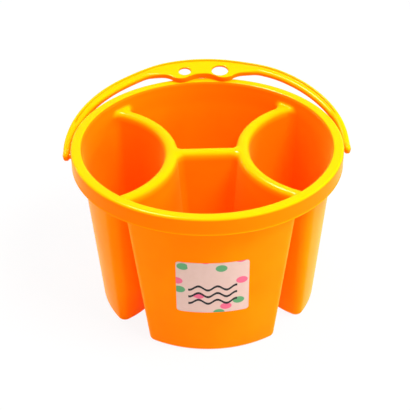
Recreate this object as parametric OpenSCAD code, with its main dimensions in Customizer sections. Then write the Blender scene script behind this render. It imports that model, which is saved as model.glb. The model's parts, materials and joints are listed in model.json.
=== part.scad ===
// Four-cup carrying bucket with a swinging bail handle, one moulding each, and a stuck-on label.
// Millimetres. +Z is up, X is the bail's pivot axis, -Y is the labelled front, Z = 0 is the floor.

/* [Rim] */
// Outside diameter of the rim
rim_d = 172.8; // [160:0.2:184]
// Width of the rim's top, from its inside edge to its outside edge
rim_w = 7.3; // [6.5:0.1:9]
// Height of the rim's top above the floor
bucket_h = 112.8; // [95:0.1:130]
// Height of the skirt that hangs from the rim
skirt_h = 11.8; // [10.5:0.1:15]
// Wall thickness of the rim's top and its skirt
rim_t = 2; // [1.5:0.1:2.5]
// Rounding of the rim's outer top edge
rim_edge_r = 1.6; // [0.8:0.1:2]
// Rounding of the rim's inner top edge
mouth_edge_r = 2.2; // [1:0.1:2.6]

/* [Cups] */
// Diameter across the outsides of the cups at the floor
base_d = 143.6; // [134:0.2:150]
// Wall thickness of the cups and dividers
wall_t = 1.8; // [1.4:0.1:2.4]
// Thickness of the cups' floors
floor_t = 2; // [1.5:0.1:3]
// Corner radius inside a cup at the top
corner_top_r = 6; // [5:0.5:8]
// Corner radius inside a cup at the floor
corner_floor_r = 3; // [2.5:0.5:4]
// Rounding round the outside and inside of each cup's floor
foot_r = 2.5; // [1.5:0.1:3]

/* [Dividers] */
// How far the dividers' tops lie below the rim's top
divider_drop = 6.5; // [4:0.1:10]
// Width of a divider below its rounded top
divider_w = 8.6; // [7:0.2:10]
// Width of the flat left along a divider's rounded top
divider_flat = 1; // [0.6:0.1:2]
// Radius of the two curved dividers, at the middle of their width
arc_r = 58.6; // [54:0.2:64]
// Length of the straight divider between the curved ones
bar_l = 45.6; // [40:0.2:52]
// Radius where the straight divider meets a curved one
junction_r = 5; // [3:0.5:7]
// Draft of the divider walls, in degrees
divider_draft = 4.3; // [3:0.1:5]

/* [Bail handle] */
// Gap between the rim's outside and the bail's legs
leg_gap = 1; // [0.8:0.1:3]
// Thickness of a leg across its pivot
leg_t = 4.8; // [3.4:0.1:5.4]
// Depth of the bail's section
bail_h = 4.5; // [4:0.1:5.5]
// How far the bail's top stands above the pivot axis, square to the bail's plane
bail_top = 1.6; // [1.4:0.1:2]
// Thickness of the bail's web
web_t = 1.3; // [1:0.1:1.6]
// Thickness of the flange round the web
flange_t = 1.2; // [0.9:0.1:1.3]
// Rounding of the bail's outer edges
bail_edge_r = 1.3; // [0.8:0.1:1.4]
// Width of the lip that stands above the web along the bail's outer edge
lip_w = 2.6; // [2:0.1:3]
// Height of the lip above the web
lip_h = 0.7; // [0.4:0.1:1]
// Length over which the lip fades into a leg
lip_fade = 6; // [4:1:10]
// How far the centre of the bow's outer edge lies from the pivot axis
bow_offset = 9.6; // [6:0.2:12]
// How far the centre of the bow's inner edge lies from the pivot axis
room_offset = 6; // [4:0.1:7.5]
// How far from the pivot axis a leg stays solid
solid_l = 30; // [20:1:40]
// Width of the grip between its two lobes
grip_w = 17; // [16.4:0.2:19]
// Width of the grip at a lobe
lobe_w = 22.6; // [21.8:0.2:24]
// Distance between the two lobes
lobe_spread = 30; // [28:0.5:34]
// Radius of a lobe
lobe_r = 8; // [7:0.5:9]
// Radius of the finger hollows beside and between the lobes
hollow_r = 12; // [8:0.5:13]
// Diameter of the small brush hole
small_hole_d = 8.4; // [6:0.2:10]
// Diameter of the large brush hole
large_hole_d = 11.4; // [9:0.2:13]
// Distance between the two brush holes
hole_spread = 24.6; // [24:0.2:28]
// Distance of the brush holes' centres from the bail's outer edge
hole_set = 13.7; // [12:0.1:15]

/* [Pivots] */
// Depth of the pivot axis below the rim's top
pivot_drop = 8.9; // [7.5:0.1:9.2]
// Diameter of the round eye at a leg's end
eye_d = 6; // [5:0.1:7]
// Diameter of a pivot peg
peg_d = 3.2; // [2.6:0.1:3.6]
// Radial clearance of a peg in its hole
peg_clear = 0.08; // [0.04:0.01:0.1]
// How far a peg reaches past the skirt's inside
peg_past = 0.9; // [0.6:0.1:1.2]
// Clearance between the resting bail and the rim
rest_clear = 0.3; // [0.2:0.05:0.6]

/* [Label] */
// Width of the label along the wall
label_w = 44.4; // [30:0.2:55]
// Height of the label
label_h = 40.6; // [30:0.2:55]
// Height of the label's middle above the floor
label_z = 54.7; // [45:0.1:62]
// Thickness of the label
label_t = 0.25; // [0.15:0.05:0.4]
// Corner radius of the label
label_corner_r = 2; // [1:0.5:4]

/* [Hidden] */
$fn = 96;

plastic = [1.0, 0.60, 0.04];
paper = [0.97, 0.90, 0.89];

// Steps along the arcs of the cups' walls, corners and rounded edges
wall_steps = 20;
corner_steps = 6;
junction_steps = 5;
edge_steps = 3;
// Small offset that keeps two round walls from lying in one face
step_off = 0.2;
// Film of glue under the label
label_gap = 0.05;

// Rim and the round outer wall
rim_r = rim_d / 2;
mouth_r = rim_r - rim_w;
divider_z = bucket_h - divider_drop;
wall_slope = (mouth_r + wall_t - base_d / 2) / bucket_h;
function wall_in_r(z) = mouth_r - (bucket_h - z) * wall_slope;
skirt_draft = 0.1;

// Dividers: where the rounded top springs from the walls, and the arcs' centre
spring_r = (divider_w - divider_flat) / 2;
spring_z = divider_z - spring_r;
arc_x = bar_l / 2 + arc_r;
function lean(z) = (spring_z - min(z, spring_z)) * tan(divider_draft);
function corner_r(z) = corner_floor_r + (corner_top_r - corner_floor_r) * min(z / spring_z, 1);

// Bail: its edges in its own plane, measured from the pivot axis
leg_in_r = rim_r + leg_gap;
leg_out_r = leg_in_r + leg_t;
bail_reach = bow_offset + leg_out_r;
grip_in = bail_reach - grip_w;
lobe_in = bail_reach - lobe_w;
bail_under = bail_h - bail_top;
web_z = bail_top - lip_h;
pivot_z = bucket_h - pivot_drop;
holes = [[-hole_spread / 2, small_hole_d / 2], [hole_spread / 2, large_hole_d / 2]];

// Tilt at which the lobes rest on the rim, a clearance above it
rest_rise = pivot_drop + rest_clear;
rest_tilt = atan2(rest_rise, lobe_in) + asin(bail_under / norm([lobe_in, rest_rise]));

// Points along an arc, without the last one
function arc(centre, r, from, to, steps) =
    [for (i = [0:steps - 1]) let (a = from + (to - from) * i / steps) centre + r * [cos(a), sin(a)]];

// Outline of the front cup's room: outer wall, two curved dividers and the straight one
function front_outline(wall, arc_wall, bar, corner) =
    let (
        far = wall - corner,
        kx = (arc_x ^ 2 + far ^ 2 - (arc_wall + corner) ^ 2) / (2 * arc_x),
        ky = -sqrt(far ^ 2 - kx ^ 2),
        fy = -bar - junction_r,
        fx = arc_x - sqrt((arc_wall + junction_r) ^ 2 - fy ^ 2),
        wall_a = atan2(ky, kx),
        corner_a = atan2(-ky, arc_x - kx),
        bar_a = atan2(-fy, arc_x - fx)
    )
    concat(
        arc([0, 0], wall, -180 - wall_a, wall_a, wall_steps),
        arc([kx, ky], corner, wall_a, corner_a, corner_steps),
        arc([arc_x, 0], arc_wall, corner_a - 180, bar_a - 180, wall_steps),
        arc([fx, fy], junction_r, bar_a, 90, junction_steps),
        [[fx, -bar]],
        arc([-fx, fy], junction_r, 90, 180 - bar_a, junction_steps),
        arc([-arc_x, 0], arc_wall, -bar_a, -corner_a, wall_steps),
        arc([-kx, ky], corner, 180 - corner_a, 180 - wall_a, corner_steps)
    );

// Outline of the right-hand cup's room: outer wall and one curved divider
function side_outline(wall, arc_wall, corner) =
    let (
        far = wall - corner,
        kx = (arc_x ^ 2 + far ^ 2 - (arc_wall - corner) ^ 2) / (2 * arc_x),
        ky = sqrt(far ^ 2 - kx ^ 2),
        wall_a = atan2(ky, kx),
        arc_a = atan2(ky, kx - arc_x)
    )
    concat(
        arc([0, 0], wall, -wall_a, wall_a, wall_steps),
        arc([kx, ky], corner, wall_a, arc_a, corner_steps),
        arc([arc_x, 0], arc_wall, arc_a, 360 - arc_a, 2 * wall_steps),
        arc([kx, -ky], corner, 360 - arc_a, 360 - wall_a, corner_steps)
    );

// A cup's outline at a height, grown outwards by out, and towards the dividers by flare
function cup_outline(front, z, out, flare = 0) =
    let (
        wall = wall_in_r(z) + out,
        toward = lean(z) - out - flare,
        corner = corner_r(z) + out
    )
    front
        ? front_outline(wall, arc_r + divider_w / 2 + toward, divider_w / 2 + toward, corner)
        : side_outline(wall, arc_r - divider_w / 2 - toward, corner);

// Heights and insets of the rounding round a floor at height base
function foot_ring(i, base) =
    let (a = 90 * i / edge_steps) [base + foot_r * (1 - cos(a)), foot_r * (1 - sin(a))];

// The middle of an outline's points, at its height
function middle(ring) =
    let (n = len(ring[1]), ones = [for (p = ring[1]) 1 / n], m = ones * ring[1]) [m[0], m[1], ring[0]];

// A closed solid through outlines of equal length, each with its height; the ends are fans about middles
module loft(rings) {
    count = len(rings[0][1]);
    last = len(rings) - 1;
    floor_mid = count * (last + 1);
    points = concat(
        [for (ring = rings, p = ring[1]) [p[0], p[1], ring[0]]],
        [middle(rings[0]), middle(rings[last])]
    );
    sides = [
        for (j = [0:last - 1], i = [0:count - 1])
            let (a = j * count + i, b = j * count + (i + 1) % count)
            each [[a, a + count, b + count], [a, b + count, b]]
    ];
    ends = [
        for (i = [0:count - 1])
            let (next = (i + 1) % count)
            each [[i, next, floor_mid], [last * count + next, last * count + i, floor_mid + 1]]
    ];
    polyhedron(points, concat(sides, ends));
}

// The outside of one cup, from the floor up into the deck of the dividers
module cup_outside(front) {
    foot = [
        for (i = [0:edge_steps])
            let (ring = foot_ring(i, 0)) [ring[0], cup_outline(front, ring[0], wall_t - ring[1])]
    ];
    top_z = divider_z - wall_t / 2;
    loft(concat(foot, [[top_z, cup_outline(front, top_z, wall_t)]]));
}

// The room inside one cup, flared at the top into the dividers' rounded tops
module cup_inside(front) {
    floor_edge = [
        for (i = [0:edge_steps])
            let (ring = foot_ring(i, floor_t)) [ring[0], cup_outline(front, ring[0], -step_off - ring[1])]
    ];
    round_top = [
        for (i = [0:edge_steps])
            let (a = 90 * i / edge_steps, z = spring_z + spring_r * sin(a), flare = spring_r * (1 - cos(a)))
            [z, cup_outline(front, z, -step_off, flare)]
    ];
    open_top = [[divider_z + step_off, cup_outline(front, divider_z, -step_off, spring_r)]];
    loft(concat(floor_edge, round_top, open_top));
}

// The four cups' places: front and back, right and left
module four_cups() {
    for (turn = [0, 180]) {
        rotate(turn) children(0);
        rotate(turn) children(1);
    }
}

// Half section of the rim, its skirt, the collar below it and the deck that the dividers are cut from
module rim_section() {
    deck_z = divider_z - wall_t;
    collar_t = wall_t + 2 * step_off;
    skirt_z = bucket_h - skirt_h;
    under_z = bucket_h - rim_t;
    polygon(concat(
        [[0, deck_z], [wall_in_r(divider_z) + collar_t, deck_z], [mouth_r + collar_t, under_z]],
        [[rim_r - rim_t, under_z], [rim_r - rim_t - skirt_draft, skirt_z], [rim_r - skirt_draft, skirt_z]],
        arc([rim_r - rim_edge_r, bucket_h - rim_edge_r], rim_edge_r, 0, 90, corner_steps),
        arc([mouth_r + mouth_edge_r, bucket_h - mouth_edge_r], mouth_edge_r, 90, 180, corner_steps),
        [[mouth_r, bucket_h - mouth_edge_r], [wall_in_r(divider_z), divider_z], [0, divider_z]]
    ));
}

module bucket_body() {
    hole_r = peg_d / 2 + peg_clear;
    color(plastic)
        difference() {
            union() {
                rotate_extrude() rim_section();
                four_cups() {
                    cup_outside(true);
                    cup_outside(false);
                }
            }
            four_cups() {
                cup_inside(true);
                cup_inside(false);
            }
            for (side = [0, 180])
                rotate(side)
                    translate([rim_r - 2 * rim_t, 0, pivot_z])
                        rotate([0, 90, 0])
                            cylinder(r = hole_r, h = 3 * rim_t);
        }
}

// A bar from the origin along x, with its two far corners rounded
module round_end(l, t, r) {
    square([l - r, t]);
    translate([0, r]) square([l, t - 2 * r]);
    for (y = [r, t - r])
        translate([l - r, y]) circle(r);
}

// Section of the bail's blank, with its outer edges rounded; x runs out from the bow's centre
module bail_section() {
    inner_r = leg_in_r / 2;
    translate([inner_r, -bail_under]) round_end(leg_out_r - inner_r, bail_h, bail_edge_r);
}

// Room inside the bail: straight legs and a round bow, closed by the grip with its lobes and hollows
module bail_room() {
    offset(r = hollow_r)
        offset(delta = -hollow_r)
            difference() {
                intersection() {
                    union() {
                        translate([0, room_offset]) circle(leg_in_r);
                        translate([-leg_in_r, -rim_d]) square([2 * leg_in_r, rim_d + room_offset]);
                    }
                    translate([-rim_d, -rim_d]) square([2 * rim_d, rim_d + grip_in]);
                }
                for (side = [-1, 1])
                    translate([side * lobe_spread / 2, lobe_in + lobe_r]) circle(lobe_r);
            }
}

// Outline of the bail seen square on
module bail_outline() {
    difference() {
        union() {
            translate([0, bow_offset]) circle(leg_out_r);
            translate([-leg_out_r, 0]) square([2 * leg_out_r, bow_offset]);
        }
        bail_room();
    }
}

// The hollow under the bail's web, ending where the legs become solid
module bail_hollow() {
    intersection() {
        offset(delta = -flange_t) bail_outline();
        translate([-rim_d, solid_l]) square(2 * rim_d);
    }
}

// What is cut from above to leave a lip along the outer edge, running out on the legs
module lip_relief() {
    above = bail_top + lip_h;
    intersection() {
        translate([0, bow_offset, 0]) cylinder(r = leg_out_r - lip_w, h = 2 * bail_h);
        rotate([90, 0, 90])
            linear_extrude(2 * rim_d, center = true)
                polygon([
                    [solid_l + lip_fade, web_z], [solid_l - lip_fade, above],
                    [rim_d, above], [rim_d, web_z]
                ]);
    }
}

// Round eye of the right-hand leg about its pivot, with the peg that snaps into the skirt
module leg_end() {
    tip_x = rim_r - rim_t - skirt_draft - peg_past;
    tip_l = peg_d / 6;
    eye_x = leg_in_r - step_off;
    rotate([0, 90, 0])
        rotate_extrude() {
            polygon([
                [0, tip_x], [peg_d / 3, tip_x], [peg_d / 2, tip_x + tip_l],
                [peg_d / 2, leg_in_r], [0, leg_in_r]
            ]);
            translate([0, eye_x]) round_end(eye_d / 2, leg_out_r - eye_x, bail_edge_r);
        }
}

// The bail in its own plane: x along the pivot axis, y towards the grip
module bail_flat() {
    difference() {
        union() {
            translate([0, bow_offset, 0])
                rotate_extrude(angle = 180) bail_section();
            for (side = [0, 1])
                mirror([side, 0, 0])
                    translate([0, bow_offset, 0])
                        rotate([90, 0, 0]) linear_extrude(bow_offset) bail_section();
        }
        translate([0, 0, -2 * bail_h]) linear_extrude(4 * bail_h) bail_room();
        translate([0, 0, -2 * bail_h]) linear_extrude(2 * bail_h + web_z - web_t) bail_hollow();
        lip_relief();
        for (hole = holes)
            translate([hole[0], bail_reach - hole_set, -bail_h]) cylinder(r = hole[1], h = 2 * bail_h);
    }
    for (side = [0, 1])
        mirror([side, 0, 0]) leg_end();
}

module bail_handle() {
    color(plastic)
        translate([0, 0, pivot_z]) rotate([rest_tilt, 0, 0]) bail_flat();
}

// Rounded rectangle about the origin
module round_rect(size, r) {
    for (grow = [[0, r], [r, 0]])
        square(size - 2 * grow, center = true);
    for (x = [-1, 1], y = [-1, 1])
        translate([x * (size[0] / 2 - r), y * (size[1] / 2 - r)]) circle(r);
}

// A thin band on the front wall, trimmed to the label's outline
module label() {
    skin_r = wall_t + label_gap;
    low_z = label_z - label_h;
    high_z = label_z + label_h;
    span = 2 * label_w / (wall_in_r(label_z) + wall_t) * 180 / PI;
    color(paper)
        intersection() {
            rotate(-90 - span / 2)
                rotate_extrude(angle = span)
                    polygon([
                        [wall_in_r(low_z) + skin_r, low_z],
                        [wall_in_r(low_z) + skin_r + label_t, low_z],
                        [wall_in_r(high_z) + skin_r + label_t, high_z],
                        [wall_in_r(high_z) + skin_r, high_z]
                    ]);
            translate([0, 0, label_z])
                rotate([90, 0, 0]) linear_extrude(rim_d) round_rect([label_w, label_h], label_corner_r);
        }
}

bucket_body();
bail_handle();
label();
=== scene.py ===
"""Looks of a four-cup bucket: glossy mouldings, a printed label and a plain white studio."""
import json
import math

import bmesh
import bpy
import numpy as np
from mathutils import Matrix, Vector
from mathutils.geometry import delaunay_2d_cdt


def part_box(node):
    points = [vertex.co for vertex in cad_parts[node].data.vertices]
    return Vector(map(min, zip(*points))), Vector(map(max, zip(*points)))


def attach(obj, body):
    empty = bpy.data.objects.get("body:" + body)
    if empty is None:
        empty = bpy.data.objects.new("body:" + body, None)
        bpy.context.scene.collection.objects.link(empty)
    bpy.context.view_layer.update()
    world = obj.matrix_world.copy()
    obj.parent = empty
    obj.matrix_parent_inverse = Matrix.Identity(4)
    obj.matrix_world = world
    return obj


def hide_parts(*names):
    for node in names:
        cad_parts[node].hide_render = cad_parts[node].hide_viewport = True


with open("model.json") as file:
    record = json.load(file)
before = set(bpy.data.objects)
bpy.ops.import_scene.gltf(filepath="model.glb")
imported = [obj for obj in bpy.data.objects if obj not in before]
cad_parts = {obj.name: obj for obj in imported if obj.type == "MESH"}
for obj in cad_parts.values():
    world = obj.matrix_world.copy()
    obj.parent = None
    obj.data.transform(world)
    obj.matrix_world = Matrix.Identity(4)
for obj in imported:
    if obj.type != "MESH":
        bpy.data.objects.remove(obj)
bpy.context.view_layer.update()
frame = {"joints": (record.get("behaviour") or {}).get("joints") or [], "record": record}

# Sizes are in millimetres, and MM turns them into Blender's metres
MM = 0.001
mounts = {mount["name"]: mount for mount in frame["record"]["mounts"]}
body_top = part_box("bucket_body")[1] / MM
label_low, label_high = (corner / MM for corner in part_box("label"))
bail_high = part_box("bail_handle")[1] / MM

# Rim
rim_r = round(body_top.x, 2)
bucket_h = round(body_top.z, 2)
rim_w = 7.3
skirt_h = 11.8
rim_t = 2.0
rim_edge_r = 1.6
mouth_edge_r = 2.2
skirt_edge_r = 0.7
skirt_draft = 0.1
skirt_bead_r = 0.4
skirt_bead = 0.1
under_fillet = 1.2
mouth_r = rim_r - rim_w
skirt_z = bucket_h - skirt_h
under_z = bucket_h - rim_t

# Cups
base_d = 143.6
wall_t = 1.8
floor_t = 2.0
corner_top_r = 6.0
corner_floor_r = 3.0
foot_r = 2.5
wall_slope = (mouth_r + wall_t - base_d / 2) / bucket_h

# Dividers
divider_z = bucket_h - 6.5
divider_w = 8.6
divider_flat = 1.0
arc_r = 58.6
bar_l = 45.6
junction_r = 5.0
divider_draft = math.tan(math.radians(4.3))
wall_fillet = 1.6
spring_r = (divider_w - divider_flat) / 2
spring_z = divider_z - spring_r
deck_z = divider_z - wall_t
arc_x = bar_l / 2 + arc_r

# Bail handle, placed by the joint and the brush holes' axis; bail_rest is in metres
pivot_z = frame["joints"][0]["pos_m"][2] / MM
hole_axis = Vector(mounts["brush_hole_small"]["axis"])
rest_tilt = math.atan2(-hole_axis.y, hole_axis.z)
bail_rest = Matrix.Translation((0, 0, pivot_z * MM)) @ Matrix.Rotation(rest_tilt, 4, "X")

# Its section: a web between flanges, and a lip at the outer edge that fades at the solid legs
bail_top = 1.6
bail_under = 2.9
web_t = 1.3
flange_t = 1.2
bail_edge_r = 2.0
web_edge_r = 0.8
arm_edge_r = 2.4
arm_w = 12.0
arm_fade = 4.0
low_edge_r = 0.6
lip_w = 3.0
lip_h = 1.0
lip_fade = 6.0
lip_run = 0.9
least_lip = 0.04
least_flat = 0.1
solid_l = 30.0
web_z = bail_top - lip_h

# Its outline: legs, bow, and a grip with two lobes; the inner edge runs on past the pivots
leg_gap = 1.0
leg_in_r = rim_r + leg_gap
leg_out_r = round(bail_high.x, 2)
bow_offset = 9.6
room_offset = 6.0
past_pivot = 1.0
bail_reach = bow_offset + leg_out_r
grip_w = 17.0
lobe_w = 22.6
grip_in = bail_reach - grip_w
lobe_in = bail_reach - lobe_w
grip_drop = 0.9
lobe_x = 15.0
lobe_r = 8.0
hollow_r = 12.0

# The flex of its arms
arm_flex = 1.5
flex_x = 25.0
flex_run = 30.0

# The domed eyes at the ends of its legs, their pegs, and the rounded edges of its brush holes
eye_r = 3.0
eye_tip = 80
peg_r = 1.6
peg_clear = 0.08
peg_past = 0.9
peg_root = 2.0
hole_edge_r = 0.8
hole_edge_turn = 80
hole_flare = 2.0

# Label
label_corner_r = 2.0
label_t = 0.25
label_gap = 0.05

# Steps of the meshes; a cup's outer wall has more where the cup is like the front one
WALL_STEPS = {True: 64, False: 48}
ARC_STEPS = 36
CORNER_STEPS = 12
JUNCTION_STEPS = 10
BAR_STEPS = 8
GAP_STEPS = 12
EDGE_STEPS = 8
FLAT_STEPS = 4
SKIRT_STEPS = 6
SKIRT_INNER_STEPS = 5
WALL_RINGS = 10
TURN_STEPS = 48
HOLLOW_STEPS = 24
LOBE_STEPS = 40
BEND_STEPS = 12
BOW_STEPS = 200
BAIL_STATIONS = 480
LABEL_COLUMNS = 49
LABEL_ROWS = 24

# Rows of points in the deck's fillet, as shares of its radius, and how far they stay off its edge
FILLET_SHARES = (0.08, 0.2, 0.36, 0.56, 0.78, 1.0)
FILLET_APART = 0.25

# Distances at which points become one, what the deck's triangles cover, and what a sharp edge is
WELD = 0.0005
DECK_WELD = 1e-5
INSIDE_ONLY = 1
SHARP = math.radians(38)


def arc(centre, r, start, end, steps):
    """Points along an arc, in degrees, without the last one."""
    a = np.radians(start + (end - start) * np.arange(steps) / steps)
    return np.stack([centre[0] + r * np.cos(a), centre[1] + r * np.sin(a)], 1)


def line(start, end, steps):
    """Points along a line, without the last one."""
    t = np.arange(steps)[:, None] / steps
    return np.array(start) * (1 - t) + np.array(end) * t


def angle(x, y):
    """Direction of a vector, in degrees."""
    return math.degrees(math.atan2(y, x))


def smooth(t):
    """Smooth step from 0 to 1."""
    t = np.clip(t, 0, 1)
    return t * t * (3 - 2 * t)


def new_piece(name, mesh, body, *nodes, slot):
    """An object that rides on a body and stands for CAD nodes."""
    piece = bpy.data.objects.new(name, mesh)
    bpy.context.scene.collection.objects.link(piece)
    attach(piece, body)
    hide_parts(*nodes)
    return piece


class Shell:
    """Collects points in millimetres and faces, and welds them into one mesh."""

    def __init__(self):
        self.points = []
        self.faces = []

    def ring(self, points):
        """Adds points and returns their numbers."""
        start = len(self.points)
        self.points.extend([tuple(map(float, p)) for p in points])
        return list(range(start, len(self.points)))

    def strip(self, low, high, closed=True):
        """Quads between two rings of equal length."""
        count = len(low)
        for i in range(count if closed else count - 1):
            j = (i + 1) % count
            self.faces.append((low[i], low[j], high[j], high[i]))

    def cap(self, ring):
        """One face over a ring."""
        self.faces.append(tuple(ring))

    def mesh(self, name, transform=None):
        """The welded mesh, shaded smooth except across sharp edges."""
        bm = bmesh.new()
        verts = [bm.verts.new(Vector(p) * MM) for p in self.points]
        for face in self.faces:
            bm.faces.new([verts[i] for i in face])
        bmesh.ops.remove_doubles(bm, verts=bm.verts, dist=WELD * MM)
        bmesh.ops.recalc_face_normals(bm, faces=bm.faces)
        mesh = bpy.data.meshes.new(name)
        bm.to_mesh(mesh)
        bm.free()
        if transform is not None:
            mesh.transform(transform)
        shade(mesh)
        return mesh


def shade(mesh):
    """Smooth shading, except across edges that turn by more than SHARP."""
    mesh.shade_smooth()
    mesh.set_sharp_from_angle(angle=SHARP)


def lathe(profile):
    """A closed shell turned about X, from (x, radius) points whose ends lie on the axis."""
    shell = Shell()
    turns = 2 * np.pi * (np.arange(TURN_STEPS) + 0.5) / TURN_STEPS
    rings = []
    for x, r in profile:
        if r == 0:
            rings.append(shell.ring([(x, 0, 0)]) * TURN_STEPS)
        else:
            rings.append(shell.ring([(x, r * math.cos(a), r * math.sin(a)) for a in turns]))
    for low, high in zip(rings, rings[1:]):
        for i in range(TURN_STEPS):
            j = (i + 1) % TURN_STEPS
            corners = dict.fromkeys((low[i], low[j], high[j], high[i]))
            shell.faces.append(tuple(corners))
    return shell


def combine(mesh, tools, operation):
    """The mesh joined with, or cut by, other meshes."""
    target = bpy.data.objects.new("target", mesh)
    bpy.context.scene.collection.objects.link(target)
    helpers = []
    for tool in tools:
        helper = bpy.data.objects.new("tool", tool)
        bpy.context.scene.collection.objects.link(helper)
        modifier = target.modifiers.new("combine", "BOOLEAN")
        modifier.operation = operation
        modifier.solver = "EXACT"
        modifier.object = helper
        helpers.append(helper)
    evaluated = target.evaluated_get(bpy.context.evaluated_depsgraph_get())
    made = bpy.data.meshes.new_from_object(evaluated)
    for helper in [target, *helpers]:
        bpy.data.objects.remove(helper)
    shade(made)
    return made


# The bucket's outlines


def wall_in_r(z):
    """Radius inside the round outer wall at a height."""
    return mouth_r - (bucket_h - z) * wall_slope


def front_outline(wall, arc_wall, bar, corner):
    """Outline of the front cup: outer wall first, then curved dividers and the straight one."""
    far = wall - corner
    kx = (arc_x**2 + far**2 - (arc_wall + corner) ** 2) / (2 * arc_x)
    ky = -math.sqrt(far**2 - kx**2)
    fy = -bar - junction_r
    fx = arc_x - math.sqrt((arc_wall + junction_r) ** 2 - fy**2)
    wall_a = angle(kx, ky)
    corner_a = angle(arc_x - kx, -ky)
    bar_a = angle(arc_x - fx, -fy)
    return np.concatenate([
        arc((0, 0), wall, -180 - wall_a, wall_a, WALL_STEPS[True]),
        arc((kx, ky), corner, wall_a, corner_a, CORNER_STEPS),
        arc((arc_x, 0), arc_wall, corner_a - 180, bar_a - 180, ARC_STEPS),
        arc((fx, fy), junction_r, bar_a, 90, JUNCTION_STEPS),
        line((fx, -bar), (-fx, -bar), BAR_STEPS),
        arc((-fx, fy), junction_r, 90, 180 - bar_a, JUNCTION_STEPS),
        arc((-arc_x, 0), arc_wall, -bar_a, -corner_a, ARC_STEPS),
        arc((-kx, ky), corner, 180 - corner_a, 180 - wall_a, CORNER_STEPS),
    ])


def side_outline(wall, arc_wall, corner):
    """Outline of the right-hand cup: outer wall first, then one curved divider."""
    far = wall - corner
    kx = (arc_x**2 + far**2 - (arc_wall - corner) ** 2) / (2 * arc_x)
    ky = math.sqrt(far**2 - kx**2)
    wall_a = angle(kx, ky)
    arc_a = angle(kx - arc_x, ky)
    return np.concatenate([
        arc((0, 0), wall, -wall_a, wall_a, WALL_STEPS[False]),
        arc((kx, ky), corner, wall_a, arc_a, CORNER_STEPS),
        arc((arc_x, 0), arc_wall, arc_a, 360 - arc_a, 2 * ARC_STEPS),
        arc((kx, -ky), corner, 360 - arc_a, 360 - wall_a, CORNER_STEPS),
    ])


def cup_outline(cup, z, out, flare=0.0):
    """A cup's outline at a height, grown outwards by out, and towards the dividers by flare."""
    front, turn = cup
    wall = wall_in_r(z) + out
    share = min(z / spring_z, 1)
    corner = corner_floor_r + (corner_top_r - corner_floor_r) * share + out
    toward = max(spring_z - z, 0) * divider_draft - out - flare
    if front:
        made = front_outline(wall, arc_r + divider_w / 2 + toward, divider_w / 2 + toward, corner)
    else:
        made = side_outline(wall, arc_r - divider_w / 2 - toward, corner)
    return made * turn


def heights(points, z):
    """Points in the plane with a height, or heights, added."""
    return np.column_stack([points, np.broadcast_to(z, len(points))])


def wall_rise(points, wall):
    """How far the fillet lifts the deck near the outer wall."""
    near = np.clip(wall_fillet - (wall - np.hypot(points[:, 0], points[:, 1])), 0, wall_fillet)
    return wall_fillet - np.sqrt(wall_fillet**2 - near**2)


# Cups in order round the bucket: is it like the front cup, and the half turn that places it
CUPS = [(True, 1), (False, 1), (True, -1), (False, -1)]


def foot_rings(cup, base, out):
    """Outlines of the rounding between a floor and the walls."""
    for i in range(EDGE_STEPS + 1):
        a = math.radians(90) * i / EDGE_STEPS
        z = base + foot_r * (1 - math.cos(a))
        yield heights(cup_outline(cup, z, out - foot_r * (1 - math.sin(a))), z)


def wall_rings(cup, base, out):
    """Outlines up the drafted walls, between the two roundings."""
    for z in np.linspace(base + foot_r, spring_z, WALL_RINGS + 1)[1:-1]:
        yield heights(cup_outline(cup, z, out), z)


def crest_rings(cup, round_r, out, lift):
    """Outlines of the rounded top of the dividers, lifted into the fillet at the outer wall."""
    for i in range(EDGE_STEPS + 1):
        a = math.radians(90) * i / EDGE_STEPS
        z = spring_z + round_r * math.sin(a)
        points = cup_outline(cup, z, out, round_r * (1 - math.cos(a)))
        if lift:
            rise = wall_rise(points, wall_in_r(z)) * math.sin(a) ** 4
            grow = 1 + rise * wall_slope / np.hypot(points[:, 0], points[:, 1])
            yield heights(points * grow[:, None], z + rise)
        else:
            yield heights(points, z)


def cup_skin(shell, cup, base, out, round_r, lift):
    """One side of a cup's wall, from its floor to the deck; returns its top outline."""
    outlines = [*foot_rings(cup, base, out), *wall_rings(cup, base, out)]
    outlines += crest_rings(cup, round_r, out, lift)
    rings = [shell.ring(outline) for outline in outlines]
    shell.cap(rings[0])
    for low, high in zip(rings, rings[1:]):
        shell.strip(low, high)
    return outlines[-1]


def collar_angles(tops):
    """Directions of points round the collar: each cup's wall, then the gap to the next cup."""
    walls = []
    for (front, _), top in zip(CUPS, tops):
        wall = top[: WALL_STEPS[front] + 1]
        walls.append(np.unwrap(np.arctan2(wall[:, 1], wall[:, 0])))
    angles = []
    for wall, after in zip(walls, walls[1:] + walls[:1]):
        gap = (after[0] - wall[-1]) % (2 * np.pi)
        angles += [*wall, *(wall[-1] + gap * np.arange(1, GAP_STEPS) / GAP_STEPS)]
    return np.unwrap(angles)


def deck_edge(tops, angles):
    """The deck's edge: along each cup's dividers and along the collar between cups."""
    edge = []
    start = 0
    for (front, _), top in zip(CUPS, tops):
        steps = WALL_STEPS[front]
        radius, z = np.hypot(*top[0, :2]), top[0, 2]
        edge += [top[0], *top[:steps - 1:-1]]
        start += steps + 1
        for a in angles[start: start + GAP_STEPS - 1]:
            edge.append((radius * math.cos(a), radius * math.sin(a), z))
        start += GAP_STEPS - 1
    return np.array(edge)


def deck_inside(edge, angles, wall):
    """Points inside the deck near the outer wall, where its fillet bends."""
    start = 0
    for front, _ in CUPS:
        start += WALL_STEPS[front] + 1
        gap = angles[start: start + GAP_STEPS - 1]
        start += GAP_STEPS - 1
        for share in FILLET_SHARES:
            r = wall - share * wall_fillet
            for a in np.linspace(gap[0], gap[-1], 3 * GAP_STEPS):
                point = np.array((r * math.cos(a), r * math.sin(a)))
                apart = np.min(np.hypot(*(edge[:, :2] - point).T))
                if apart > FILLET_APART and inside(edge, point):
                    yield point


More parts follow.
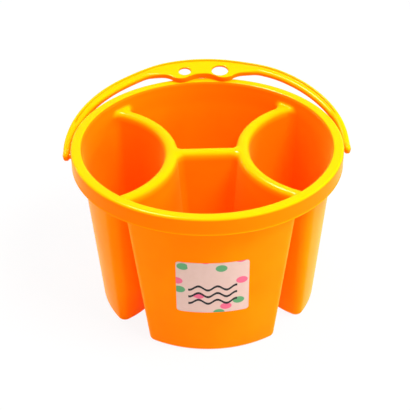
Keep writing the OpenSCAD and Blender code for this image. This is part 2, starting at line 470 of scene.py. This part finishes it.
def inside(edge, point):
    """Is a point of the plane inside a closed outline."""
    x, y = edge[:, 0], edge[:, 1]
    nx, ny = np.roll(x, -1), np.roll(y, -1)
    spans = (y > point[1]) != (ny > point[1])
    crossing = x[spans] + (point[1] - y[spans]) * (nx[spans] - x[spans]) / (ny[spans] - y[spans])
    return np.count_nonzero(crossing > point[0]) % 2 == 1


def deck(shell, tops, angles, lift):
    """The deck between the cups, with its fillet at the outer wall where it is lifted."""
    edge = deck_edge(tops, angles)
    wall = wall_in_r(divider_z)
    extra = list(deck_inside(edge, angles, wall)) if lift else []
    flat = [Vector(p) for p in [*edge[:, :2], *extra]]
    loop = list(range(len(edge)))
    found = delaunay_2d_cdt(flat, [], [loop], INSIDE_ONLY, DECK_WELD)
    corners, _, faces, origins, *_ = found
    points = np.array([tuple(p) for p in corners])
    z = edge[:, 2].min() + (wall_rise(points, wall) if lift else 0)
    ring = shell.ring(heights(points, z))
    for number, sources in zip(ring, origins):
        kept = [i for i in sources if i < len(edge)]
        if kept:
            shell.points[number] = tuple(edge[kept[0]])
    for face in faces:
        shell.faces.append(tuple(ring[i] for i in face))


def rim_profile():
    """Radius and height from inside the collar, over rim and skirt, to the collar's outside."""
    low_z = divider_z + wall_fillet
    mouth_z = bucket_h - mouth_edge_r
    edge_z = bucket_h - rim_edge_r
    flat_in, flat_out = wall_in_r(mouth_z) + mouth_edge_r, rim_r - rim_edge_r
    skirt_in = rim_r - rim_t
    profile = [(wall_in_r(z), z) for z in np.linspace(low_z, mouth_z, FLAT_STEPS)[:-1]]
    profile += [*arc((flat_in, mouth_z), mouth_edge_r, 180, 90, EDGE_STEPS)]
    profile += [*line((flat_in, bucket_h), (flat_out, bucket_h), FLAT_STEPS)]
    profile += [*arc((flat_out, edge_z), rim_edge_r, 90, 0, EDGE_STEPS)]
    out_low = (rim_r - skirt_draft + skirt_bead - skirt_bead_r, skirt_z + skirt_bead_r)
    in_low = (skirt_in - skirt_draft, skirt_z + skirt_edge_r)
    turn = math.degrees(math.acos(1 - skirt_bead / skirt_bead_r))
    bead_z = out_low[1] + skirt_bead_r * math.sin(math.radians(turn))
    profile += [*line((rim_r, edge_z), (rim_r - skirt_draft, bead_z), SKIRT_STEPS)]
    profile += [*arc(out_low, skirt_bead_r, turn, -90, 2 * EDGE_STEPS)]
    profile += [*arc((in_low[0] + skirt_edge_r, in_low[1]), skirt_edge_r, 270, 180, EDGE_STEPS)]
    profile += [*line(in_low, (skirt_in, under_z - under_fillet), SKIRT_INNER_STEPS)]
    under_r = skirt_in - under_fillet
    profile += [*arc((under_r, under_z - under_fillet), under_fillet, 0, 90, EDGE_STEPS)]
    profile += [(under_r, under_z), (wall_in_r(under_z) + wall_t, under_z)]
    profile += [(wall_in_r(z) + wall_t, z) for z in np.linspace(under_z, deck_z, FLAT_STEPS)[1:]]
    return profile


def bucket_mesh():
    """Rim, skirt, four cups and the hollow dividers, as one skin."""
    shell = Shell()
    inner = [cup_skin(shell, cup, floor_t, 0.0, spring_r, True) for cup in CUPS]
    outer = [cup_skin(shell, cup, 0.0, wall_t, spring_r - wall_t, False) for cup in CUPS]
    inner_a, outer_a = collar_angles(inner), collar_angles(outer)
    outer_a += 2 * np.pi * round((inner_a[0] - outer_a[0]) / (2 * np.pi))
    deck(shell, inner, inner_a, True)
    deck(shell, outer, outer_a, False)
    profile = rim_profile()
    rings = []
    for i, (r, z) in enumerate(profile):
        a = inner_a + (outer_a - inner_a) * i / (len(profile) - 1)
        rings.append(shell.ring(heights(np.stack([r * np.cos(a), r * np.sin(a)], 1), z)))
    for low, high in zip(rings, rings[1:]):
        shell.strip(low, high)
    body = shell.mesh("bucket_body_skin")
    hole_r = peg_r + peg_clear
    drills = []
    for side in (-1, 1):
        ends = sorted((side * (rim_r - 3 * rim_t), side * (rim_r + rim_t)))
        drill = lathe([(ends[0], 0), (ends[0], hole_r), (ends[1], hole_r), (ends[1], 0)])
        drills.append(drill.mesh("drill", transform=Matrix.Translation((0, 0, pivot_z * MM))))
    return combine(body, drills, "DIFFERENCE")


# The bail handle, in its own plane: x along the pivots, v towards the grip, w up


def grip_edge():
    """Right half of the bail's inner edge, from the middle of the grip to the leg."""
    lobe = np.array((lobe_x, lobe_in + lobe_r))
    hollow_v = grip_in - hollow_r
    run = math.sqrt((lobe_r + hollow_r) ** 2 - (lobe[1] - hollow_v) ** 2)
    meet = angle(run, lobe[1] - hollow_v)
    bend_x = math.sqrt((leg_in_r - hollow_r) ** 2 - (hollow_v - room_offset) ** 2)
    bend_a = angle(bend_x, hollow_v - room_offset)
    return np.concatenate([
        line((0, grip_in), (lobe_x - run, grip_in), FLAT_STEPS),
        arc((lobe_x - run, hollow_v), hollow_r, 90, meet, HOLLOW_STEPS),
        arc(lobe, lobe_r, meet - 180, -meet, LOBE_STEPS),
        arc((lobe_x + run, hollow_v), hollow_r, 180 - meet, 90, HOLLOW_STEPS),
        arc((bend_x, hollow_v), hollow_r, 90, bend_a, BEND_STEPS),
        arc((0, room_offset), leg_in_r, bend_a, 0, BOW_STEPS),
        line((leg_in_r, room_offset), (leg_in_r, -past_pivot), FLAT_STEPS),
    ])


def bail_edges(turns):
    """Inner and outer radius of the bail from the middle of the pivot axis, in each direction."""
    edge = grip_edge()
    right = np.unwrap(np.arctan2(edge[:, 1], edge[:, 0]))
    folded = np.where(turns > np.pi / 2, np.pi - turns, turns)
    inner = np.interp(folded, right[::-1], np.hypot(edge[:, 0], edge[:, 1])[::-1])
    rise = bow_offset * np.sin(turns)
    bow = rise + np.sqrt(leg_out_r**2 - bow_offset**2 + rise**2)
    leg = leg_out_r / np.maximum(np.abs(np.cos(turns)), 1e-6)
    outer = np.where(leg * np.sin(turns) < bow_offset, leg, bow)
    return inner, outer


def bail_section(width, share, deeper):
    """Section of the bail from its bottom inner edge to its bottom outer edge, as (across, w)."""
    low = low_edge_r - bail_under
    inner_low = low - deeper
    web = bail_top - lip_h * share
    lip_s = width - lip_w
    climb = np.linspace(0, 1, 2 * EDGE_STEPS, endpoint=False)
    edge_r = web_edge_r + (arm_edge_r - web_edge_r) * smooth((arm_w - width) / arm_fade)
    edge_r = min(edge_r, lip_s - least_flat)
    return np.concatenate([
        [(flange_t, -bail_under - deeper)],
        arc((low_edge_r, inner_low), low_edge_r, 270, 180, EDGE_STEPS),
        arc((edge_r, web - edge_r), edge_r, 180, 90, EDGE_STEPS),
        line((edge_r, web), (lip_s, web), FLAT_STEPS),
        np.stack([lip_s + lip_run * climb, web + (bail_top - web) * smooth(climb)], 1),
        arc((width - bail_edge_r, bail_top - bail_edge_r), bail_edge_r, 90, 0, EDGE_STEPS),
        arc((width - low_edge_r, low), low_edge_r, 0, -90, EDGE_STEPS),
        [(width - low_edge_r, -bail_under), (width - flange_t, -bail_under)],
    ])


def bail_place(points, turn, tip, low, high):
    """Section points at a turn of the flexed bail, oval near the pivot, domed by the tip angle."""
    along = np.array((math.cos(turn), math.sin(turn)))
    half_w, half_h = (high - low) / 2, (bail_top + bail_under) / 2
    middle = bail_top - half_h
    near_eye = smooth(1 - low * along[1] / (2 * eye_r))
    box = (points - (half_w, middle)) / (half_w, half_h)
    oval = box / np.hypot(box[:, :1], box[:, 1:])
    s, w = (box + (oval - box) * near_eye).T
    across = low + half_w + half_w * s * math.cos(tip)
    x, v = across * along[0], across * along[1]
    w = (middle + half_h * w) * (1 - near_eye) + eye_r * w * math.cos(tip) * near_eye
    flex = arm_flex * np.sign(x) * smooth((np.abs(x) - flex_x) / flex_run) * smooth(v / flex_run)
    return np.column_stack([x, v - eye_r * math.sin(tip), w + flex])


def bail_bar():
    """Legs with round ends, arms and grip, with the channel under their web."""
    shell = Shell()
    bow = np.linspace(0, np.pi, BAIL_STATIONS + 1)
    dome = np.radians(np.linspace(eye_tip, 0, EDGE_STEPS, endpoint=False))
    turns = np.concatenate([np.zeros(EDGE_STEPS), bow, np.full(EDGE_STEPS, np.pi)])
    tips = np.concatenate([dome, np.zeros(len(bow)), dome[::-1]])
    ceiling = web_z - web_t
    sections, roofs = [], []
    for turn, tip, low, high in zip(turns, tips, *bail_edges(turns)):
        x, v = low * math.cos(turn), low * math.sin(turn)
        raised = max(smooth((v - solid_l) / lip_fade), least_lip)
        middle = 1 - smooth(abs(x) / lobe_x)
        section = bail_section(high - low, raised, grip_drop * min(2 * middle, 1))
        sections.append(shell.ring(bail_place(section, turn, tip, low, high)))
        roof = None
        if v > solid_l:
            corners = np.array([(flange_t, ceiling), (high - low - flange_t, ceiling)])
            roof = shell.ring(bail_place(corners, turn, tip, low, high))
        roofs.append(roof)
    for here, there, roof, next_roof in zip(sections, sections[1:], roofs, roofs[1:]):
        shell.strip(here, there, closed=False)
        under, next_under = [here[-1], here[0]], [there[-1], there[0]]
        if roof and next_roof:
            under[1:1], next_under[1:1] = roof[::-1], next_roof[::-1]
        shell.strip(under, next_under, closed=False)
        if (roof is None) != (next_roof is None):
            section, end = (there, next_roof) if next_roof else (here, roof)
            shell.cap([section[0], section[-1], end[1], end[0]])
    shell.cap(sections[0])
    shell.cap(sections[-1])
    return shell.mesh("bail_bar")


def leg_peg(side):
    """The peg at a leg's end, which turns in the skirt's hole."""
    tip_x = rim_r - rim_t - skirt_draft - peg_past
    root_x = leg_in_r + peg_root
    bevel = peg_r / 3
    tip = [(tip_x, 0), (tip_x, peg_r - bevel), (tip_x + bevel, peg_r)]
    profile = [*tip, (root_x, peg_r), (root_x, 0)]
    return lathe([(side * x, r) for x, r in profile]).mesh("leg_peg")


def brush_drill(mount):
    """A cutter for a brush hole, flared at the web's top to round the hole's edge."""
    hole_r = mount["dims"]["r_mm"]
    centre = bail_rest.inverted() @ Vector(mount["pos_m"])
    run, rise = math.sin(math.radians(hole_edge_turn)), math.cos(math.radians(hole_edge_turn))
    round_w, round_r = web_z - hole_edge_r, hole_r + hole_edge_r
    end = (round_w + hole_edge_r * run, round_r - hole_edge_r * rise)
    flare = (end[0] + hole_flare * rise, end[1] + hole_flare * run)
    profile = [(-2 * bail_under, 0), (-2 * bail_under, hole_r)]
    profile += [*arc((round_w, round_r), hole_edge_r, 270, 270 + hole_edge_turn, EDGE_STEPS)]
    profile += [end, flare, (2 * bail_top, flare[1]), (2 * bail_top, 0)]
    upright = Matrix.Translation((centre.x, centre.y, 0)) @ Matrix.Rotation(-math.pi / 2, 4, "Y")
    return lathe(profile).mesh("brush_drill", transform=upright)


def bail_mesh():
    """The whole bail, tilted back to rest on the rim."""
    joined = combine(bail_bar(), [leg_peg(-1), leg_peg(1)], "UNION")
    drills = [brush_drill(mounts[name]) for name in ("brush_hole_small", "brush_hole_large")]
    made = combine(joined, drills, "DIFFERENCE")
    made.transform(bail_rest)
    return made


def label_mesh():
    """The label: a thin film bent round the front wall, with rounded corners."""
    half_w = (label_high.x - label_low.x) / 2
    low_z, high_z = label_low.z, label_high.z
    bend = label_corner_r * (1 - np.cos(np.radians(np.linspace(0, 90, EDGE_STEPS + 1))))
    straight = np.linspace(low_z, high_z, LABEL_ROWS)[2:-2]
    rows = np.concatenate([low_z + bend, straight, high_z - bend[::-1]])
    shell = Shell()
    sides = []
    for lift in (label_gap, label_gap + label_t):
        rings = []
        for z in rows:
            to_arc = label_corner_r - min(z - low_z, high_z - z, label_corner_r)
            inset = label_corner_r - math.sqrt(label_corner_r**2 - to_arc**2)
            x = np.linspace(inset - half_w, half_w - inset, LABEL_COLUMNS)
            r = wall_in_r(z) + wall_t + lift
            rings.append(shell.ring(np.stack([x, -np.sqrt(r**2 - x**2), np.full_like(x, z)], 1)))
        for low, high in zip(rings, rings[1:]):
            shell.strip(low, high, closed=False)
        sides.append(rings)
    under, over = sides
    for end in (0, -1):
        shell.strip(under[end], over[end], closed=False)
    for end in (0, -1):
        shell.strip([ring[end] for ring in under], [ring[end] for ring in over], closed=False)
    return shell.mesh("label_film")


# Materials


def set_inputs(node, values):
    """Sets a node's inputs to plain values."""
    for key, value in values.items():
        node.inputs[key].default_value = value


class Nodes:
    """Short ways to add and link shader nodes."""

    def __init__(self, tree):
        self.tree = tree

    def add(self, kind, inputs=(), **settings):
        """A node with settings; an input takes a socket or a value."""
        node = self.tree.nodes.new(kind)
        for key, value in settings.items():
            setattr(node, key, value)
        for key, value in dict(inputs).items():
            if isinstance(value, bpy.types.NodeSocket):
                self.tree.links.new(value, node.inputs[key])
            else:
                node.inputs[key].default_value = value
        return node

    def math(self, operation, a, b=0.0):
        """The result of a math node."""
        return self.add("ShaderNodeMath", {0: a, 1: b}, operation=operation).outputs[0]

    def ramp(self, value, low, high):
        """A smooth ramp of a value from 0 at low to 1 at high."""
        inputs = {"Value": value, "From Min": low, "From Max": high}
        return self.add("ShaderNodeMapRange", inputs, interpolation_type="SMOOTHSTEP").outputs[0]

    def mix(self, factor, a, b):
        """A mix of two colours."""
        return self.add("ShaderNodeMix", {0: factor, 6: a, 7: b}, data_type="RGBA").outputs[2]

    def noise(self, where, scale, detail=2.0):
        """Noise from 0 to 1 at a scale in cycles per metre."""
        inputs = {"Vector": where, "Scale": scale, "Detail": detail}
        return self.add("ShaderNodeTexNoise", inputs).outputs[0]


def new_material(name):
    """An empty material, its nodes and its surface shader."""
    material = bpy.data.materials.new(name)
    material.use_nodes = True
    nodes = Nodes(material.node_tree)
    shader = material.node_tree.nodes["Principled BSDF"]
    return material, nodes, shader


ORANGE = (1.0, 0.25, 0.0008, 1)
DEEP_ORANGE = (1.0, 0.22, 0.0006, 1)
# Painted shade: a deeper orange for the sides near the top
PAINTED_SHADE_ORANGE = (1.0, 0.2, 0.0006, 1)
# Painted top light: yellow on faces near the top that look up, in place of strong light from above
PAINTED_LIGHT_YELLOW = (1.0, 0.56, 0.001, 1)
WARM = (1.0, 0.8, 0.5, 1)
GOLD = (1.0, 0.7, 0.06, 1)
# Painted glow: a faint red emission that stands in for light through the plastic
PAINTED_GLOW = (1.0, 0.07, 0.0, 1)

# Where the painted light and shade on the plastic begin and end: heights, and distances from the
# middle, in metres
NEAR_TOP = (0.094, 0.102)
NEAR_MOUTH = (0.108, 0.11)
UNDER_CREST = (0.0998, 0.1034)
INSIDE_RIM = (0.0825, 0.0815)
INSIDE_WALL = (0.077, 0.073)

# How far a face looks up, from 0 to 1, where the painted top light in yellow is full, and where it
# begins at the mouth
FULL_PAINTED_LIGHT = 0.95
MOUTH_PAINTED_LIGHT = 0.8

# How much painted top light in yellow is left on the dividers' sides under their crests
CREST_PAINTED_LIGHT = 0.36

# Scales of the plastic's noises in cycles per metre, and the clouds' soft edges
CLOUDS = 28.0
SMEARS = 60.0
GRAIN = 900.0
CLOUD_EDGE = (0.3, 0.7)


def plastic_material():
    """Glossy moulded plastic: orange walls, painted shade on the sides near the top, painted top
    light in yellow on the edges and crests at the top, and a painted glow.
    """
    material, nodes, shader = new_material("orange_plastic")
    place = nodes.add("ShaderNodeTexCoord")
    where = place.outputs["Object"]
    facing = nodes.add("ShaderNodeSeparateXYZ", {0: place.outputs["Normal"]}).outputs["Z"]
    parts = nodes.add("ShaderNodeSeparateXYZ", {0: where})
    height = parts.outputs["Z"]
    flat = nodes.add("ShaderNodeCombineXYZ", {"X": parts.outputs["X"], "Y": parts.outputs["Y"]})
    length = nodes.add("ShaderNodeVectorMath", {0: flat.outputs[0]}, operation="LENGTH")
    radius = length.outputs["Value"]

    near_top = nodes.ramp(height, *NEAR_TOP)
    in_rim, in_wall = nodes.ramp(radius, *INSIDE_RIM), nodes.ramp(radius, *INSIDE_WALL)
    at_mouth = nodes.math("MULTIPLY", nodes.ramp(height, *NEAR_MOUTH), in_rim)
    upward = nodes.ramp(facing, nodes.math("MULTIPLY", at_mouth, MOUTH_PAINTED_LIGHT), FULL_PAINTED_LIGHT)
    crest = nodes.math("MULTIPLY", nodes.ramp(height, *UNDER_CREST), in_wall)
    # Painted top light: yellow on up-facing faces near the top, and a share of it on the dividers'
    # sides under their crests
    painted_top_light = nodes.math("MULTIPLY", upward, near_top)
    painted_light = nodes.math("MAXIMUM", painted_top_light, nodes.math("MULTIPLY", crest, CREST_PAINTED_LIGHT))
    cloud = nodes.noise(where, CLOUDS, detail=3.0)
    walls = nodes.mix(nodes.ramp(cloud, *CLOUD_EDGE), DEEP_ORANGE, ORANGE)
    # Painted shade: sides near the top, such as the skirt and collar, get a deeper orange
    sides = nodes.mix(near_top, walls, PAINTED_SHADE_ORANGE)
    nodes.tree.links.new(nodes.mix(painted_light, sides, PAINTED_LIGHT_YELLOW), shader.inputs["Base Color"])

    smear = nodes.noise(where, SMEARS, detail=4.0)
    gloss = nodes.add("ShaderNodeMapRange", {"Value": smear, "To Min": 0.13, "To Max": 0.2})
    nodes.tree.links.new(gloss.outputs[0], shader.inputs["Roughness"])
    grain = nodes.noise(where, GRAIN)
    bump = nodes.add("ShaderNodeBump", {"Height": grain, "Strength": 0.04, "Distance": 0.0002})
    nodes.tree.links.new(bump.outputs[0], shader.inputs["Normal"])
    # The emission is a painted glow that stands in for light through the plastic
    set_inputs(shader, {
        "IOR": 1.49,
        "Specular IOR Level": 0.015,
        "Specular Tint": WARM,
        "Sheen Weight": 0.85,
        "Sheen Roughness": 0.3,
        "Sheen Tint": GOLD,
        "Emission Color": PAINTED_GLOW,
        "Emission Strength": 0.2,
    })
    return material


PINK = (0.83, 0.13, 0.24, 1)
GREEN = (0.11, 0.36, 0.15, 1)
PAPER = (0.72, 0.49, 0.41, 1)
PALE_PAPER = (0.77, 0.54, 0.47, 1)
INK = (0.012, 0.011, 0.012, 1)

# Spots per metre, their stretch and soft edge, and the shares of bare cells and of pink ones
SPOTS = 105.0
SPOT_STRETCH = 0.75
SPOT_EDGE = (0.26, 0.3)
BARE_SHARE = 0.35
PINK_SHARE = 0.5
PAPER_GRAIN = 300.0


def label_material():
    """Printed film: a pale ground, scattered oval spots and three dark waves."""
    material, nodes, shader = new_material("label_film")
    where = nodes.add("ShaderNodeTexCoord").outputs["Object"]
    parts = nodes.add("ShaderNodeSeparateXYZ", {0: where})
    across, height = parts.outputs["X"], parts.outputs["Z"]
    squeezed = nodes.math("MULTIPLY", across, SPOT_STRETCH)
    flat = nodes.add("ShaderNodeCombineXYZ", {"X": squeezed, "Y": height}).outputs[0]
    cells = {"Vector": flat, "Scale": SPOTS, "Randomness": 0.7}
    spots = nodes.add("ShaderNodeTexVoronoi", cells, voronoi_dimensions="2D")
    kind = nodes.add("ShaderNodeSeparateColor", {0: spots.outputs["Color"]})
    disc = nodes.math("SUBTRACT", 1.0, nodes.ramp(spots.outputs["Distance"], *SPOT_EDGE))
    some = nodes.math("GREATER_THAN", kind.outputs[0], BARE_SHARE)
    green = nodes.math("GREATER_THAN", kind.outputs[1], PINK_SHARE)
    colour = nodes.mix(green, PINK, GREEN)
    paper = nodes.mix(nodes.noise(where, PAPER_GRAIN), PAPER, PALE_PAPER)
    spotted = nodes.mix(nodes.math("MULTIPLY", disc, some), paper, colour)
    printed = nodes.mix(waves(nodes, across, height), spotted, INK)
    nodes.tree.links.new(printed, shader.inputs["Base Color"])
    set_inputs(shader, {"Roughness": 0.4, "Specular IOR Level": 0.3})
    return material


def waves(nodes, across, height):
    """1 on three printed waves below the label's middle, else 0."""
    pitch, swing, length, width = 0.0056, 0.0016, 0.0115, 0.0009
    middle = (label_low.z + label_high.z) / 2 * MM - pitch
    crest = nodes.math("SINE", nodes.math("MULTIPLY", across, 2 * math.pi / length))
    rise = nodes.math("SUBTRACT", height, nodes.math("MULTIPLY", crest, swing))
    above = nodes.math("SUBTRACT", rise, middle)
    near = nodes.math("PINGPONG", above, pitch / 2)
    stroke = nodes.math("LESS_THAN", near, width)
    rows = nodes.math("LESS_THAN", nodes.math("ABSOLUTE", above), 1.5 * pitch)
    ends = nodes.math("LESS_THAN", nodes.math("ABSOLUTE", across), 1.3 * length)
    return nodes.math("MULTIPLY", stroke, nodes.math("MULTIPLY", rows, ends))


# The studio

WHITE = (1, 1, 1, 1)
FLOOR_GREY = (0.86, 0.86, 0.86, 1)
LAMP_AIM = (0, 0, 0.06)

# Share of plain white that the eye sees on the floor, and strength of the world's fill light
FLOOR_WHITE = 0.9
FILL = 0.6


def floor():
    """A wide white floor that stays white to the camera and keeps a soft shadow."""
    mesh = bpy.data.meshes.new("floor")
    half, level = 3.0, -0.0004
    corners = [(x * half, y * half, level) for x, y in ((-1, -1), (1, -1), (1, 1), (-1, 1))]
    mesh.from_pydata(corners, [], [(0, 1, 2, 3)])
    stage = bpy.data.objects.new("floor", mesh)
    bpy.context.scene.collection.objects.link(stage)
    material, nodes, shader = new_material("floor")
    set_inputs(shader, {"Base Color": FLOOR_GREY, "Roughness": 0.9, "Specular IOR Level": 0.0})
    white = nodes.add("ShaderNodeEmission", {"Color": WHITE, "Strength": 1.0}).outputs[0]
    share = nodes.math("MULTIPLY", seen(nodes), FLOOR_WHITE)
    shown = nodes.add("ShaderNodeMixShader", {0: share, 1: shader.outputs[0], 2: white}).outputs[0]
    nodes.tree.links.new(shown, nodes.tree.nodes["Material Output"].inputs[0])
    mesh.materials.append(material)


def seen(nodes):
    """1 for rays that look at the background, from the camera or in a reflection."""
    path = nodes.add("ShaderNodeLightPath")
    glossy = nodes.math("MAXIMUM", path.outputs["Is Camera Ray"], path.outputs["Is Glossy Ray"])
    return nodes.math("MAXIMUM", glossy, path.outputs["Is Transmission Ray"])


def world_light():
    """White all round to the eye, and an even fill light on the object."""
    world = bpy.data.worlds.new("studio")
    bpy.context.scene.world = world
    world.use_nodes = True
    nodes = Nodes(world.node_tree)
    fill = world.node_tree.nodes["Background"]
    set_inputs(fill, {"Color": WHITE, "Strength": FILL})
    white = nodes.add("ShaderNodeBackground", {"Color": WHITE, "Strength": 1.0}).outputs[0]
    inputs = {0: seen(nodes), 1: fill.outputs[0], 2: white}
    both = nodes.add("ShaderNodeMixShader", inputs).outputs[0]
    world.node_tree.links.new(both, world.node_tree.nodes["World Output"].inputs[0])


def softbox(name, place, size, watts, aim=LAMP_AIM, glint=False):
    """A square area lamp that looks at a point; a glint only shows in reflections."""
    lamp = bpy.data.lights.new(name, "AREA")
    lamp.size = size
    lamp.energy = watts
    made = bpy.data.objects.new(name, lamp)
    bpy.context.scene.collection.objects.link(made)
    made.location = place
    made.rotation_mode = "QUATERNION"
    made.rotation_quaternion = (Vector(aim) - Vector(place)).to_track_quat("-Z", "Y")
    made.visible_diffuse = not glint


def camera():
    """The photograph's view: a long lens from the front, looking down, rolled a little."""
    lens = bpy.data.cameras.new("camera")
    lens.sensor_width = 36.0
    lens.lens = 92.195
    lens.clip_start = 0.01
    made = bpy.data.objects.new("camera", lens)
    bpy.context.scene.collection.objects.link(made)
    yaw, pitch, roll = math.radians(1.81), math.radians(34.56), math.radians(-0.57)
    target, distance = Vector((-1.79, 0.06, 63.45)) * MM, 693.58
    level = math.cos(pitch)
    back = Vector((-math.sin(yaw) * level, -math.cos(yaw) * level, math.sin(pitch)))
    made.location = target + back * distance * MM
    made.rotation_mode = "QUATERNION"
    look = (-back).to_track_quat("-Z", "Y")
    made.rotation_quaternion = look @ Matrix.Rotation(roll, 3, "Z").to_quaternion()
    bpy.context.scene.camera = made


plastic = plastic_material()
skin, arms, film = bucket_mesh(), bail_mesh(), label_mesh()
bucket = new_piece("bucket_body_skin", skin, "bucket", "bucket_body", slot="orange_plastic")
bail = new_piece("bail_handle_skin", arms, "handle", "bail_handle", slot="orange_plastic")
label = new_piece("label_film", film, "bucket", "label", slot="label_film")
for piece in (bucket, bail):
    piece.data.materials.append(plastic)
label.data.materials.append(label_material())

floor()
world_light()
softbox("key", (0.52, -0.38, 1.1), 0.5, 10.0)
softbox("back", (-0.26, 0.45, 1.13), 0.5, 3.0)
softbox("side", (1.2, -0.1, 0.3), 0.5, 8.0)
softbox("left", (-1.1, 0.65, 0.25), 0.5, 6.0)
softbox("glint_back", (-0.26, 0.45, 1.13), 0.2, 120.0, aim=(0, 0, 0.1), glint=True)
camera()
bpy.context.scene.view_settings.view_transform = "Standard"
